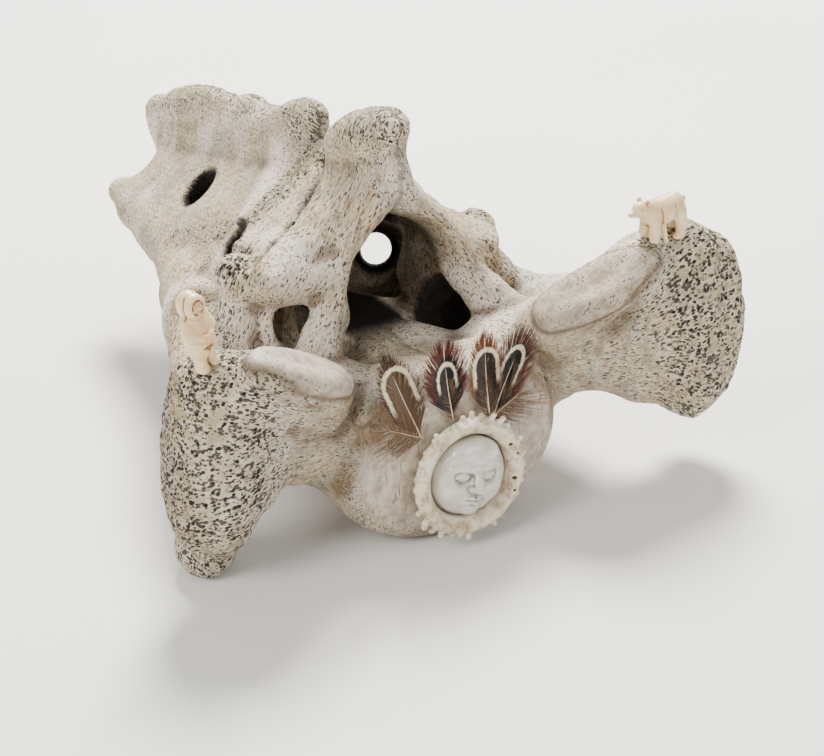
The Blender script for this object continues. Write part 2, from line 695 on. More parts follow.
# ------------------------------------------------------------------ materials
class NodeTree:
    """A node tree, built one call at a time."""

    def node(self, kind, inputs, output=0, **settings):
        node = self.tree.nodes.new(kind)
        for key, value in settings.items():
            setattr(node, key, value)
        for key, value in inputs.items():
            self.feed(node.inputs[key], value)
        return node.outputs[output]

    def feed(self, socket, value):
        if isinstance(value, bpy.types.NodeSocket):
            self.tree.links.new(value, socket)
        else:
            socket.default_value = value

    def math(self, operation, a, b=0.0):
        return self.node("ShaderNodeMath", {0: a, 1: b}, operation=operation)

    def plus(self, a, b):
        return self.math("ADD", a, b)

    def minus(self, a, b):
        return self.math("SUBTRACT", a, b)

    def times(self, first, *others):
        for other in others:
            first = self.math("MULTIPLY", first, other)
        return first

    def parts(self, vector):
        node = self.tree.nodes.new("ShaderNodeSeparateXYZ")
        self.feed(node.inputs[0], vector)
        return node.outputs


class Recipe(NodeTree):
    """A material's nodes, which end in one shader."""

    def __init__(self, name):
        self.material = bpy.data.materials.new(name)
        self.material.use_nodes = True
        self.tree = self.material.node_tree
        self.tree.nodes.clear()
        self.shader = self.tree.nodes.new("ShaderNodeBsdfPrincipled")
        out = self.tree.nodes.new("ShaderNodeOutputMaterial")
        self.tree.links.new(self.shader.outputs[0], out.inputs["Surface"])

    def surface(self, **inputs):
        for key, value in inputs.items():
            self.feed(self.shader.inputs[key.replace("_", " ")], value)
        return self.material

    def attribute(self, name, output="Vector"):
        return self.node("ShaderNodeAttribute", {}, output, attribute_name=name)

    def split(self, colour):
        node = self.tree.nodes.new("ShaderNodeSeparateColor")
        self.tree.links.new(colour, node.inputs[0])
        return node.outputs

    def stretched(self, vector, scale):
        return self.node("ShaderNodeMapping", {"Vector": vector, "Scale": scale})

    def object_place(self, scale=(1, 1, 1)):
        return self.stretched(self.node("ShaderNodeTexCoord", {}, "Object"), scale)

    def noise(self, vector, scale, detail=3.0, rough=0.55, output=0):
        wanted = {"Vector": vector, "Scale": scale, "Detail": detail, "Roughness": rough}
        return self.node("ShaderNodeTexNoise", wanted, output)

    def ramp(self, value, low, high, to_low=0.0, to_high=1.0, smooth=True):
        wanted = {"Value": value, "From Min": low, "From Max": high, "To Min": to_low, "To Max": to_high}
        kind = "SMOOTHSTEP" if smooth else "LINEAR"
        return self.node("ShaderNodeMapRange", wanted, interpolation_type=kind)

    def mix(self, share, a, b, blend="MIX"):
        node = self.tree.nodes.new("ShaderNodeMix")
        node.data_type = "RGBA"
        node.blend_type = blend
        self.feed(node.inputs[0], share)
        self.feed(node.inputs[6], a)
        self.feed(node.inputs[7], b)
        return node.outputs[2]

    def tint_hollows(self, tone, low, high, most, colour):
        """Colours the places that lie between `low` and `high` millimetres deep, up to `most`."""
        hollow = self.attribute("hollow", "Fac")
        return self.mix(self.ramp(hollow, low, high, 0.0, most), tone, colour)

    def bump(self, height, distance, strength=1.0):
        wanted = {"Height": height, "Distance": distance, "Strength": strength}
        return self.node("ShaderNodeBump", wanted, "Normal")


def rgb(red, green, blue):
    """A colour given as a painter reads it off a screen, 0 to 255."""
    return tuple((value / 255) ** 2.2 for value in (red, green, blue)) + (1.0,)


def pores(recipe, vector, scale, size, soft):
    """0 in the pores of a cell pattern and 1 between them, with pores up to `size` of a cell."""
    node = recipe.tree.nodes.new("ShaderNodeTexVoronoi")
    recipe.feed(node.inputs["Vector"], vector)
    recipe.feed(node.inputs["Scale"], scale)
    share = recipe.split(node.outputs["Color"])[0]
    radius = recipe.times(size, recipe.ramp(share, 0.0, 1.0, 0.25, 1.0, smooth=False))
    edge = recipe.minus(node.outputs["Distance"], radius)
    return recipe.ramp(edge, -soft, soft * 0.4)


def weathered_bone():
    r = Recipe("weathered_bone")
    zones = r.tree.nodes.new("ShaderNodeAttribute")
    zones.attribute_name = "zones"
    opened, polished, stained = r.split(zones.outputs["Color"])
    shaded = zones.outputs["Alpha"]
    grain = r.attribute("grain")
    place = r.object_place()
    streak_place = r.stretched(grain, (0.14, 1.0, 1.0))
    pore_place = r.stretched(grain, (0.58, 1.0, 1.0))
    drawn_place = r.stretched(grain, (0.34, 1.0, 1.0))

    drift = r.noise(place, 38.0, 4.0)
    fleck = r.noise(place, 190.0, 3.0, 0.65)
    streak = r.noise(streak_place, 980.0, 3.0, 0.62)
    cloud = r.noise(place, 75.0, 3.0, output="Color")
    cloud_a, cloud_b, cloud_c = r.split(cloud)

    plain = r.minus(1.0, polished)
    patchy = r.ramp(fleck, 0.36, 0.6, 0.5, 1.15)
    coarse_size = r.times(r.times(opened, patchy), 0.54)
    coarse = pores(r, pore_place, 700.0, r.minus(coarse_size, 0.06), 0.1)
    fine_size = r.times(r.plus(r.times(opened, 0.26), 0.46), patchy)
    fine_size = r.times(fine_size, r.ramp(polished, 0.0, 1.0, 1.0, 0.6))
    fine = pores(r, drawn_place, 1150.0, fine_size, 0.12)
    scratch = r.ramp(streak, 0.32, 0.47)
    scratch_depth = r.times(r.minus(1.0, scratch), plain)

    cream, dirt_brown = rgb(206, 193, 168), rgb(84, 66, 42)
    tone = r.mix(r.ramp(drift, 0.4, 0.62), cream, rgb(186, 174, 160))
    tone = r.mix(r.ramp(cloud_a, 0.5, 0.64, 0.0, 0.7), tone, rgb(180, 182, 162))
    tone = r.mix(r.ramp(cloud_b, 0.53, 0.68, 0.0, 0.6), tone, rgb(205, 181, 140))
    tone = r.mix(r.ramp(fleck, 0.34, 0.52, 0.55, 0.0), tone, rgb(118, 100, 74))
    tone = r.mix(r.ramp(streak, 0.35, 0.7), r.mix(0.4, tone, rgb(134, 114, 86)), tone)
    pale = r.times(r.ramp(r.noise(place, 24.0, 2.0), 0.48, 0.62, 0.0, 0.6), plain)
    tone = r.mix(pale, tone, rgb(228, 218, 208))
    smooth_bone = r.mix(r.ramp(fleck, 0.3, 0.7), rgb(152, 140, 130), rgb(204, 194, 182))
    tone = r.mix(r.times(polished, 0.65), tone, smooth_bone)
    rough_bone = r.mix(r.ramp(fleck, 0.35, 0.65), rgb(168, 154, 124), rgb(206, 198, 176))
    tone = r.mix(r.times(opened, 0.6), tone, rough_bone)
    dirt = r.times(stained, r.ramp(cloud_c, 0.3, 0.6, 0.35, 1.0))
    tone = r.mix(dirt, tone, rgb(104, 84, 52))
    tone = r.mix(r.times(scratch_depth, 0.75), tone, dirt_brown)
    pit_tone = r.mix(opened, rgb(58, 44, 30), rgb(26, 18, 12))
    tone = r.mix(r.times(r.minus(1.0, fine), 0.88), tone, pit_tone)
    tone = r.mix(r.times(r.minus(1.0, coarse), 0.95), tone, rgb(28, 21, 15))
    tone = r.tint_hollows(tone, 0.05, 0.7, 0.7, dirt_brown)
    brink = r.attribute("brink", "Fac")
    tone = r.mix(r.times(brink, 0.8), tone, rgb(86, 68, 46))
    tone = r.mix(0.4, tone, rgb(228, 220, 208), blend="MULTIPLY")
    tone = r.mix(r.times(shaded, 0.95), tone, rgb(16, 14, 10))

    height = r.plus(coarse, r.times(fine, 0.45))
    height = r.plus(height, r.times(r.times(streak, plain), 0.35))
    height = r.plus(height, r.times(fleck, 0.35))
    return r.surface(
        Base_Color=tone,
        Roughness=r.ramp(polished, 0.0, 1.0, 0.82, 0.5),
        Specular_IOR_Level=0.3,
        Normal=r.bump(height, 0.0015, 1.0),
    )


# ------------------------------------------------------------------ the bone
BONE_BOX = ((-142, -34, -54), (160, 302, 148))
REFINE_FROM = 0.3
BRINK_EDGES = (0.01, 0.99)
HOLLOW_ROUNDS = 5


def build_bone():
    steps = bone_steps()
    points, triangles = skin_of(steps, *BONE_BOX, BONE_CELL)
    points = onto_surface(steps, evened(points, triangles), BONE_CELL)
    plate = facet_plates(points)
    on_brink = (plate > BRINK_EDGES[0]) & (plate < BRINK_EDGES[1])
    points, triangles = refined(points, triangles, (bone_zones(points)[:, 0] > REFINE_FROM) | on_brink)
    points = onto_surface(steps, points, BONE_CELL, rounds=1)
    zones = bone_zones(points)
    grain = bone_grain(points)
    plate = facet_plates(points)
    points = roughened(points, triangles, zones)
    piece = mesh_piece("bone_skin", lay_down(points), triangles, weathered_bone(), "sacrum")
    set_attribute(piece, "zones", "FLOAT_COLOR", zones)
    set_attribute(piece, "grain", "FLOAT_VECTOR", grain)
    set_attribute(piece, "hollow", "FLOAT", hollows(points, triangles, HOLLOW_ROUNDS))
    set_attribute(piece, "brink", "FLOAT", 4 * plate * (1 - plate))


build_bone()


# ------------------------------------------------------------------ places of the ornaments
def axis_turn(degrees, axis):
    return Matrix.Rotation(math.radians(degrees), 4, axis)


MASK_PLACE = Matrix.Translation(MASK_AT) @ axis_turn(90, "X") @ axis_turn(-MASK_LEAN, "Z")
HUNTER_PLACE = (
    Matrix.Translation(HUNTER_AT) @ axis_turn(HUNTER_TURN, "Z") @ axis_turn(HUNTER_LEAN, "Y")
    @ Matrix.Scale(HUNTER_SCALE, 4)
)
BEAR_PLACE = Matrix.Translation(BEAR_AT) @ axis_turn(BEAR_TURN, "Z") @ axis_turn(BEAR_PITCH, "Y")


CARVING_ROUNDS = 10


def both_sides(make):
    return make(LEFT) + make(RIGHT)


def kept_between(least, most):
    """A trim that keeps points off the disc and between two distances from the carving's axis."""

    def trim(points):
        points = points.copy()
        points[:, 2] = np.maximum(points[:, 2], GAP)
        radius = np.maximum(np.hypot(points[:, 0], points[:, 1]), TINY)
        points[:, :2] *= (np.clip(radius, least, most) / radius)[:, None]
        return points

    return trim


def carving(name, steps, low, high, cell, place, material, node, trim=None):
    """A finely carved piece, shaped about its own origin and carried to its place on the bone."""
    points, triangles = skin_of(steps, low, high, cell, margin=CARVING_MARGIN)
    points = onto_surface(steps, evened(points, triangles), cell, margin=CARVING_MARGIN)
    if trim:
        points = trim(points)
    piece = mesh_piece(name, lay_down(placed_by(place, points)), triangles, material, node)
    set_attribute(piece, "hollow", "FLOAT", hollows(points, triangles, CARVING_ROUNDS))


# ------------------------------------------------------------------ antler burr round the mask
PEARLS = 38
LONG_PEARLS = (-2.75, -2.0)
# Angle in degrees, distance from the axis and radius.
BURR_PITS = [(-6, 21.4, 0.9), (-19, 22.6, 0.7), (38, 21.4, 0.85), (24, 22.4, 0.65), (152, 21.5, 0.6)]
BURR_REACH = 33


def outward(angle):
    return np.array((math.cos(angle), math.sin(angle), 0))


def burr_steps():
    steps = [add(hoop(20.4, 2.6, 2.2), 1), add(hoop(22.8, 4.6, 2.9), 3), add(hoop(23.0, 7.2, 1.0), 1.6)]
    chance = np.random.default_rng(7)
    for i in range(PEARLS):
        angle = 2 * math.pi * (i + chance.uniform(-0.24, 0.24)) / PEARLS
        out = outward(angle)
        side = np.array((-out[1], out[0], 0))
        length = chance.uniform(2.2, 3.6) + 1.5 * max(0.0, out[1])
        thick = chance.uniform(0.95, 1.35)
        if LONG_PEARLS[0] < angle - 2 * math.pi * (angle > math.pi) < LONG_PEARLS[1]:
            length = chance.uniform(4.2, 5.6)
            thick = 1.25
        root = out * 22.6 + (0, 0, chance.uniform(3.2, 6.4))
        bend = side * chance.uniform(-1.0, 1.0) + (0, 0, chance.uniform(-0.6, 1.6))
        middle = root + out * length * 0.55 + bend * 0.2
        tip = root + out * length + bend
        pearl = [
            (*root, thick * 1.25, thick * 1.25), (*middle, thick * 0.85, thick * 0.9), (*tip, thick, thick),
        ]
        steps.append(add(strut(pearl, rounding=0.8), 1.1))
    for degrees, radius, size in BURR_PITS:
        at = outward(math.radians(degrees)) * radius
        hole = [(*(at + (0, 0, 11)), size, size), (*(at + (0, 0, 3.6)), size, size)]
        steps.append(cut(strut(hole, wide=ALONG_X), 0.3))
    return steps


def rough_antler():
    r = Recipe("rough_antler")
    place = r.object_place()
    broad = r.noise(place, 210.0, 4.0)
    fine = r.noise(place, 900.0, 4.0, 0.65)
    tone = r.mix(r.ramp(broad, 0.38, 0.62), rgb(222, 210, 184), rgb(196, 180, 148))
    stain = r.times(r.ramp(broad, 0.54, 0.66), r.ramp(fine, 0.4, 0.6))
    tone = r.mix(r.times(stain, 0.7), tone, rgb(140, 100, 62))
    tone = r.tint_hollows(tone, 0.08, 0.5, 0.8, rgb(96, 72, 46))
    pit = r.ramp(fine, 0.3, 0.42)
    tone = r.mix(r.ramp(pit, 0.0, 1.0, 0.5, 0.0), tone, rgb(84, 62, 42))
    height = r.plus(r.times(fine, 0.8), r.times(pit, 0.4))
    return r.surface(
        Base_Color=tone,
        Roughness=r.ramp(fine, 0.3, 0.7, 0.42, 0.62),
        Specular_IOR_Level=0.4,
        Normal=r.bump(height, 0.0005, 0.8),
    )


def build_burr():
    low, high = (-BURR_REACH, -BURR_REACH, -2), (BURR_REACH, BURR_REACH, 13)
    carving("mask_burr_skin", burr_steps(), low, high, BURR_CELL, MASK_PLACE, rough_antler(),
            "mask_burr", kept_between(MASK_RIM + 0.02, np.inf))


# ------------------------------------------------------------------ the mask's face
def face_steps():
    def features(side):
        brow = [(1.7, 4.6, 10.2, 1.0, 1.4), (5.8, 6.0, 9.9, 1.1, 1.4), (11, 4.8, 8.0, 1.0, 1.2)]
        lid = lobe((side * 5.8, 1.6, 7.6), (3.9, 2.4, 2.0), flat=(0, 0.15, 1))
        socket = lobe((side * 6.0, 2.0, 11.8), (5.6, 4.0, 4.8))
        beside_nose = lobe((side * 3.7, -0.6, 12.4), (1.7, 4.2, 2.8))
        lash = [(2.5, 0.5, 9.4, 0.34, 0.8), (5.8, -0.7, 9.6, 0.36, 0.9), (9, 0.7, 8.4, 0.34, 0.8)]
        wing = lobe((side * 2.0, -3.4, 10.7), (1.5, 1.35, 1.5))
        cheek = lobe((side * 8.2, -4.4, 6.6), (4.8, 4.6, 3.2))
        nostril = lobe((side * 1.4, -4.75, 11.0), (0.6, 0.45, 0.8))
        return [
            add(cheek, 3.0),
            cut(socket, 1.2),
            cut(beside_nose, 1.2),
            add(strut(sided(side, brow), rounding=2), 1.2),
            add(lid, 0.5),
            cut(strut(sided(side, lash), wide=ALONG_Y, rounding=0.4), 0.2),
            add(wing, 0.5),
            cut(nostril, 0.3),
        ]

    nose = [(0, 4.8, 10.2, 1.5, 1.5), (0, 0.6, 11.8, 1.5, 1.5), (0, -2.9, 13.2, 2.0, 1.8)]
    upper = [(-3.9, -8.0, 9.4, 0.6, 0.7), (-1.2, -7.1, 11.0, 0.9, 1.1), (0, -7.4, 10.9, 0.7, 0.9),
             (1.2, -7.1, 11.0, 0.9, 1.1), (3.9, -8.0, 9.4, 0.6, 0.7)]
    lower = [(-3.2, -8.9, 9.4, 0.7, 0.8), (0, -9.6, 10.6, 1.2, 1.3), (3.2, -8.9, 9.4, 0.7, 0.8)]
    line = [(-4.3, -8.2, 10.2, 0.3, 0.9), (0, -8.3, 12.0, 0.3, 1.0), (4.3, -8.2, 10.2, 0.3, 0.9)]
    groove = [(0, -5.3, 11.6, 0.6, 1.0), (0, -6.5, 11.6, 0.6, 0.9)]
    under_lip = lobe((0, -11.3, 11.2), (3.0, 1.1, 1.9))
    steps = [add(lobe((0, 0, 2), (FACE_RADIUS, FACE_RADIUS, 8.5), power=2.2), 1)]
    steps += both_sides(features)
    steps.append(add(strut(nose, wide=ALONG_X, rounding=2), 1.1))
    steps.append(add(lobe((0, -8.4, 8.2), (5.6, 3.6, 2.5)), 1.6))
    steps.append(add(strut(upper, wide=ALONG_Y, rounding=0.6), 0.4))
    steps.append(add(strut(lower, wide=ALONG_Y, rounding=0.6), 0.4))
    steps.append(cut(strut(line, wide=ALONG_Y, rounding=0.4), 0.2))
    steps.append(cut(strut(groove, wide=ALONG_X), 0.6))
    steps.append(cut(under_lip, 1.2))
    steps.append(add(lobe((0, -13.2, 6.8), (3.8, 2.6, 2.8)), 1.8))
    steps.append(add(lobe((0, 10.5, 6.4), (10, 5.4, 3.4)), 4))
    return steps


def polished_bone():
    r = Recipe("polished_bone")
    place = r.object_place()
    cloud = r.noise(place, 120.0, 3.0)
    vein = r.noise(r.object_place(scale=(1.0, 1.0, 0.3)), 600.0, 3.0)
    tone = r.mix(r.ramp(cloud, 0.35, 0.65), rgb(206, 201, 190), rgb(188, 181, 168))
    tone = r.mix(r.ramp(vein, 0.56, 0.7, 0.0, 0.25), tone, rgb(196, 184, 164))
    tone = r.tint_hollows(tone, 0.01, 0.22, 0.65, rgb(84, 76, 66))
    return r.surface(
        Base_Color=tone,
        Roughness=r.ramp(cloud, 0.3, 0.7, 0.12, 0.2),
        Specular_IOR_Level=0.6,
        Coat_Weight=0.5,
        Coat_Roughness=0.08,
        Normal=r.bump(vein, 0.0001, 0.4),
    )


def build_face():
    reach = FACE_RADIUS + 3
    low, high = (-reach, -reach, -8), (reach, reach, 16)
    carving("mask_face_skin", face_steps(), low, high, FACE_CELL, MASK_PLACE, polished_bone(),
            "mask_face", kept_between(0.0, MASK_RIM - GAP))


# ------------------------------------------------------------------ ivory figures
def aged_ivory():
    r = Recipe("aged_ivory")
    place = r.object_place()
    cloud = r.noise(place, 110.0, 4.0)
    vein = r.noise(r.object_place(scale=(1.0, 1.0, 0.2)), 900.0, 3.0)
    tone = r.mix(r.ramp(cloud, 0.36, 0.62), rgb(228, 203, 160), rgb(212, 182, 136))
    tone = r.mix(r.ramp(vein, 0.52, 0.68, 0.0, 0.35), tone, rgb(214, 186, 146))
    tone = r.tint_hollows(tone, 0.02, 0.22, 0.95, rgb(150, 88, 36))
    tone = r.mix(r.ramp(cloud, 0.58, 0.7, 0.0, 0.55), tone, rgb(222, 164, 112))
    return r.surface(
        Base_Color=tone,
        Roughness=r.ramp(cloud, 0.3, 0.7, 0.3, 0.42),
        Specular_IOR_Level=0.5,
        Subsurface_Weight=0.12,
        Subsurface_Scale=0.002,
        Normal=r.bump(vein, 0.00012, 0.5),
    )


def standing(steps, place):
    """The same carving, cut off a little above the bone it stands on."""
    bone = bone_steps()

    def under_foot(points):
        return sculpted(bone, placed_by(place, points), FOOT_MARGIN) - (GAP + LUMP_ROOM)

    return steps + [cut(Shape(under_foot, (-99, -99, -99), (99, 99, 99)), 0.3)]


def hunter_steps():
    def half(side):
        sleeve = [(4.8, 0, 25, 2.5, 2.6), (5.3, -1.2, 19.4, 2.5, 2.6), (1.9, -4.5, 17, 1.9, 1.9)]
        leg = [(2.7, 0, 2, 2.6, 2.8), (2.6, 0, 12, 3.2, 3.2)]
        cuff = [(2.5, -4.6, 17.3, 1.9, 1.9), (1.9, -5.0, 17.0, 1.9, 1.9)]
        fingers = [
            add(strut([(side * 1.3, -5.3, z, 0.62, 0.6), (side * 0.1, -6.0, z - 0.5, 0.6, 0.55)]), 0.3)
            for z in (17.9, 17.0, 16.1, 15.3)
        ]
        return [
            add(strut(sided(side, leg)), 1.4),
            cut(lobe((side * 2.8, -3.6, 4.4), (3.2, 0.5, 0.4)), 0.4),
            add(lobe((side * 3.1, -0.8, 2.2), (2.8, 3.4, 2.8)), 0.9),
            add(strut(sided(side, sleeve), rounding=3), 0.8),
            add(strut(sided(side, cuff)), 0.4),
        ] + fingers

    def face(side):
        return [
            cut(lobe((side * 1.35, -5.3, 31.6), (0.95, 0.8, 0.6)), 0.3),
            add(lobe((side * 1.35, -4.55, 31.5), (0.7, 0.55, 0.36)), 0.1),
            add(strut([(side * 0.6, -4.9, 32.4, 0.25, 0.4), (side * 2.1, -4.5, 32.3, 0.25, 0.4)]), 0.3),
            add(lobe((side * 1.6, -4.1, 29.9), (1.1, 1.0, 1.0)), 0.7),
        ]

    coat = [(0, 0, 11.4, 7.2, 5.4), (0, 0.2, 15, 6.2, 5.0), (0, 0.3, 20, 5.4, 4.7), (0, 0.3, 25.5, 5.9, 4.4)]
    steps = [add(strut(coat, wide=ALONG_X, rounding=3), 1)]
    steps += both_sides(half)
    steps += [
        cut(lobe((0, -2.5, 7.0), (0.55, 6, 6.5)), 0.8),
        add(lobe((0, 0.4, 31), (5.5, 5.4, 6.2)), 1.2),
        cut(strut([(-5.6, -1.2, 30.8, 5.2, 0.5), (5.6, -1.2, 30.8, 5.2, 0.5)]), 0.6),
        add(lobe((0, -2.8, 30.6), (5.1, 3.0, 5.5)), 0.4),
        cut(lobe((0, -6.6, 30.6), (4.0, 3.4, 4.4)), 0.4),
        add(lobe((0, -2.7, 30.6), (3.1, 2.3, 3.5)), 0.2),
        add(lobe((0, -5.0, 30.6), (0.55, 0.8, 1.0)), 0.35),
        cut(lobe((0, -5.3, 28.95), (1.0, 0.8, 0.2)), 0.12),
        add(lobe((0, -4.4, 28.0), (1.0, 0.8, 0.7)), 0.4),
    ]
    belt = [(-5, -5.4, 12.4, 0.22, 0.8), (0, -6.2, 12.0, 0.22, 0.8), (5, -5.4, 12.4, 0.22, 0.8)]
    return steps + both_sides(face) + [cut(strut(belt), 0.4)]


def bear_steps():
    def half(side):
        front = [
            (-4.6, side * 2.7, 11, 3.0, 2.4), (-5.2, side * 3, 6, 2.1, 2.0), (-5.5, side * 3, 2, 1.9, 1.9),
        ]
        rear = [
            (8.6, side * 2.8, 12, 3.8, 3.0), (10.2, side * 3.1, 6.6, 2.3, 2.2),
            (9.2, side * 3.1, 2, 2.0, 2.0),
        ]
        toes = []
        for x in (-8.6, 6.3):
            for y in (side * 3.05 - 0.5, side * 3.05 + 0.5):
                groove = [(x, y, 2.4, 0.25, 0.16), (x + 0.7, y, 0.6, 0.25, 0.16)]
                toes.append(cut(strut(groove), 0.15))
        return [
            add(strut(front, rounding=2), 1.2),
            add(strut(rear, rounding=2), 1.2),
            add(lobe((-6.6, side * 3.05, 1.4), (2.5, 2.0, 1.6)), 0.7),
            add(lobe((8.3, side * 3.1, 1.4), (2.7, 2.0, 1.6)), 0.7),
            add(lobe((-8.5, side * 2.6, 19.9), (0.8, 1.3, 1.5), flat=(0.3, 0, 1)), 0.4),
            cut(lobe((-9.3, side * 3.0, 20.0), (0.6, 0.7, 0.8)), 0.25),
            cut(lobe((-12.4, side * 3.0, 17.7), (1.0, 0.8, 0.9)), 0.2),
            add(lobe((-12.4, side * 2.4, 17.7), (0.6, 0.6, 0.55)), 0.08),
            cut(strut([(-16.4, side * 1.2, 15.0, 0.22, 0.6), (-13.0, side * 2.4, 14.8, 0.22, 0.7)]), 0.2),
            cut(strut([(-2.2, side * 4.6, 16, 0.4, 0.7), (-1.7, side * 4.4, 10, 0.4, 0.8)]), 0.8),
            cut(strut([(5.4, side * 4.9, 16, 0.4, 0.7), (5.6, side * 4.6, 10.5, 0.4, 0.8)]), 0.8),
        ] + toes

    body = [(-4.5, 0, 13.8, 4.9, 4.3), (1.5, 0, 13.4, 4.5, 4.2), (8.4, 0, 14.6, 5.6, 4.7)]
    steps = [
        add(strut(body, rounding=6), 1),
        add(strut([(-5.5, 0, 15.0, 4.3, 3.7), (-9.5, 0, 16.6, 3.6, 3.0)], rounding=3), 2),
        add(lobe((-11, 0, 17.1), (3.6, 2.9, 3.1)), 1.5),
        add(lobe((-14.3, 0, 15.9), (2.7, 1.65, 1.5)), 1.2),
        add(lobe((-16.4, 0, 16.5), (0.75, 0.8, 0.55)), 0.4),
        add(lobe((13.5, 0, 15.8), (1.5, 1.2, 1.6)), 1),
        add(strut([(-1.6, -3.6, 13, 1.4, 1.1), (0.3, -3.9, 1.0, 0.9, 0.9)]), 0.8),
    ]
    return steps + both_sides(half)


def build_figures():
    ivory = aged_ivory()
    figures = {
        "hunter": (hunter_steps(), (-13, -12, -8), (13, 12, 40), HUNTER_PLACE),
        "bear": (bear_steps(), (-20, -9, -8), (18, 9, 26), BEAR_PLACE),
    }
    for name, (steps, low, high, place) in figures.items():
        carving(name + "_skin", standing(steps, place), low, high, FIGURE_CELL, place, ivory,
                name + "_figure")


# ------------------------------------------------------------------ feathers
class Tree(NodeTree):
    """A geometry node tree with named inputs."""

    def __init__(self, name, sockets):
        self.tree = bpy.data.node_groups.new(name, "GeometryNodeTree")
        for socket, kind in sockets.items():
            self.tree.interface.new_socket(name=socket, in_out="INPUT", socket_type=kind)
        self.tree.interface.new_socket(name="Geometry", in_out="OUTPUT", socket_type="NodeSocketGeometry")
        self.given = self.tree.nodes.new("NodeGroupInput").outputs

    def vector(self, x=0.0, y=0.0, z=0.0):
        return self.node("ShaderNodeCombineXYZ", {0: x, 1: y, 2: z})

    def join(self, *geometries):
        node = self.tree.nodes.new("GeometryNodeJoinGeometry")
        for geometry in geometries:
            self.tree.links.new(geometry, node.inputs[0])
        return node.outputs[0]

    def finish(self, geometry):
        out = self.tree.nodes.new("NodeGroupOutput")
        self.tree.links.new(geometry, out.inputs[0])
        return self.tree


FEATHER_SOCKETS = {
    "Length": "NodeSocketFloat",
    "Half Width": "NodeSocketFloat",
    "Barbs": "NodeSocketInt",
    "Barb Width": "NodeSocketFloat",
    "Sweep": "NodeSocketFloat",
    "Curl": "NodeSocketFloat",
    "Looseness": "NodeSocketFloat",
    "Start": "NodeSocketFloat",
    "Bend": "NodeSocketFloat",
    "Shaft": "NodeSocketFloat",
    "Seed": "NodeSocketInt",
    "Vane": "NodeSocketMaterial",
    "Quill": "NodeSocketMaterial",
}
LEFT_SALT = 29.0
RIGHT_SALT = 11.0


def feather_barb(t, sign):
    """One barb, a narrowing strip from the origin along +X that curls towards the tip."""
    grid = {"Size X": 1.0, "Size Y": 1.0, "Vertices X": 8, "Vertices Y": 2}
    strip = t.node("GeometryNodeMeshGrid", grid)
    place = t.parts(t.node("GeometryNodeInputPosition", {}))
    reach = t.plus(place[0], 0.5)
    squared = t.times(reach, reach)
    taper = t.minus(1.0, t.times(squared, 0.75))
    side = t.times(place[1], taper, t.given["Barb Width"])
    curl = t.times(squared, t.given["Curl"], sign)
    bent = {"Geometry": strip, "Position": t.vector(reach, t.plus(side, curl))}
    return t.node("GeometryNodeSetPosition", bent)


def feather_row(t, sign, salt):
    """The barbs on one side of the quill, clumped and split a little."""
    g = t.given
    index = t.node("GeometryNodeInputIndex", {})
    share = t.math("DIVIDE", index, t.minus(g["Barbs"], 1.0))
    share = t.plus(g["Start"], t.times(share, t.minus(1.0, g["Start"])))
    rooted = {"Count": g["Barbs"], "Position": t.vector(y=t.times(share, g["Length"]))}
    points = t.node("GeometryNodePoints", rooted)
    seed = t.plus(g["Seed"], salt)
    drawn = {"Min": (-1.0, -1.0, -1.0), "Max": (1.0, 1.0, 1.0), "Seed": seed}
    chance = t.parts(t.node("FunctionNodeRandomValue", drawn, data_type="FLOAT_VECTOR"))
    clump_at = t.vector(t.times(index, 0.11), seed)
    clump = t.node("ShaderNodeTexNoise", {"Vector": clump_at, "Scale": 1.0, "Detail": 1.0})
    clump = t.times(t.minus(clump, 0.5), 4.0)
    round_at = t.plus(t.times(share, 0.6), 0.14)
    rounded = t.math("POWER", t.math("SINE", t.times(round_at, math.pi)), 0.6)
    uneven = t.plus(0.93, t.times(chance[0], 0.09))
    width = t.times(rounded, g["Half Width"], uneven)
    swept = t.plus(g["Sweep"], t.times(share, share, 0.68))
    wander = t.times(t.plus(chance[1], clump), g["Looseness"])
    angle = t.plus(swept, wander)
    if sign < 0:
        angle = t.minus(math.pi, angle)
    lift = t.times(chance[2], g["Looseness"], 0.8)
    row = {
        "Points": points,
        "Instance": feather_barb(t, sign),
        "Rotation": t.vector(0.3, lift, angle),
        "Scale": t.vector(width, 1.0, 1.0),
    }
    return t.node("GeometryNodeInstanceOnPoints", row)


def feather_tree():
    """A quill along +Y with a row of barbs on either side of it, in millimetres."""
    t = Tree("feather", FEATHER_SOCKETS)
    g = t.given
    line = t.node("GeometryNodeCurvePrimitiveLine", {"Start": t.vector(), "End": t.vector(y=g["Length"])})
    line = t.node("GeometryNodeResampleCurve", {"Curve": line, "Count": 16})
    along = t.node("GeometryNodeSplineParameter", {})
    thin = t.minus(1.0, t.times(along, 0.7))
    ring = t.node("GeometryNodeCurvePrimitiveCircle", {"Resolution": 6, "Radius": 1.0})
    tube = {
        "Curve": line,
        "Profile Curve": ring,
        "Scale": t.times(thin, g["Shaft"]),
        "Fill Caps": True,
    }
    rows = t.join(feather_row(t, 1.0, RIGHT_SALT), feather_row(t, -1.0, LEFT_SALT))
    quill = feather_finish(t, t.node("GeometryNodeCurveToMesh", tube), g["Quill"])
    return t.finish(t.join(quill, feather_finish(t, rows, g["Vane"])))


def feather_finish(t, geometry, material):
    """Real meshes, bent forward more and more towards the tip."""
    solid = t.node("GeometryNodeRealizeInstances", {"Geometry": geometry})
    place = t.parts(t.node("GeometryNodeInputPosition", {}))
    part = t.math("DIVIDE", place[1], t.given["Length"])
    rise = t.vector(z=t.times(part, part, t.given["Bend"]))
    bent = t.node("GeometryNodeSetPosition", {"Geometry": solid, "Offset": rise})
    bent = t.node("GeometryNodeRealizeInstances", {"Geometry": bent})
    return t.node("GeometryNodeSetMaterial", {"Geometry": bent, "Material": material})


